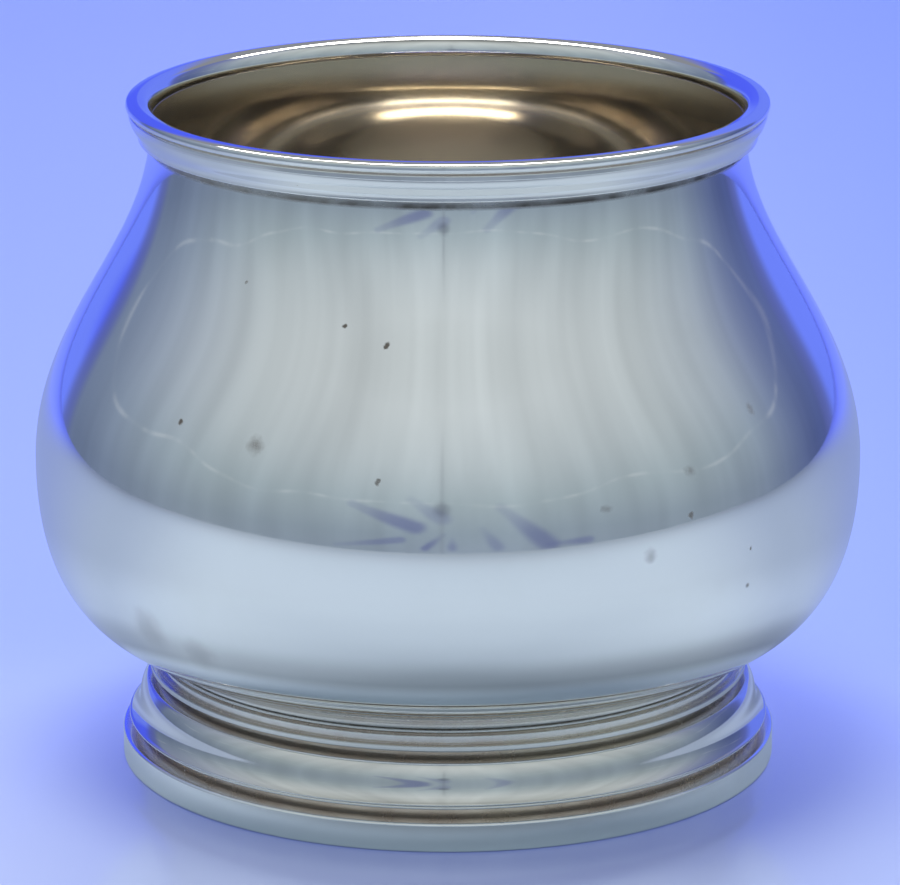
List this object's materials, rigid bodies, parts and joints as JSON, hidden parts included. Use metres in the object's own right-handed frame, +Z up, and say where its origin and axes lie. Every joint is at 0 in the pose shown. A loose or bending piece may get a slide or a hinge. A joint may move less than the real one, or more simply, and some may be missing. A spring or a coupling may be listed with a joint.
{
  "type": "waste bowl",
  "caption": "Round footed metal table bowl with a bulging body, a narrower moulded mouth and a hollow moulded foot, for spent tea leaves and slops.",
  "frame": {"origin": "centre of the base rim's underside, on the table", "axes": "+Z up along the bowl's turning axis, +X to the right as the picture shows it, and the picture looks along +Y"},
  "size_m": [0.108, 0.108, 0.0881],
  "materials": {
    "body_silver": "polished silver with fine scratches, warmer and tarnished inside",
    "rim_silver": "polished silver",
    "collar_silver": "polished silver with brown tarnish in its grooves",
    "ogee_silver": "polished silver with brown tarnish at its seams",
    "base_silver": "polished silver with brown tarnish on its ledge"
  },
  "bodies": {
    "root": {"bowl_shell": "body_silver", "rim_moulding": "rim_silver", "foot_collar": "collar_silver", "foot_ogee": "ogee_silver", "base_rim": "base_silver"}
  },
  "joints": []
}
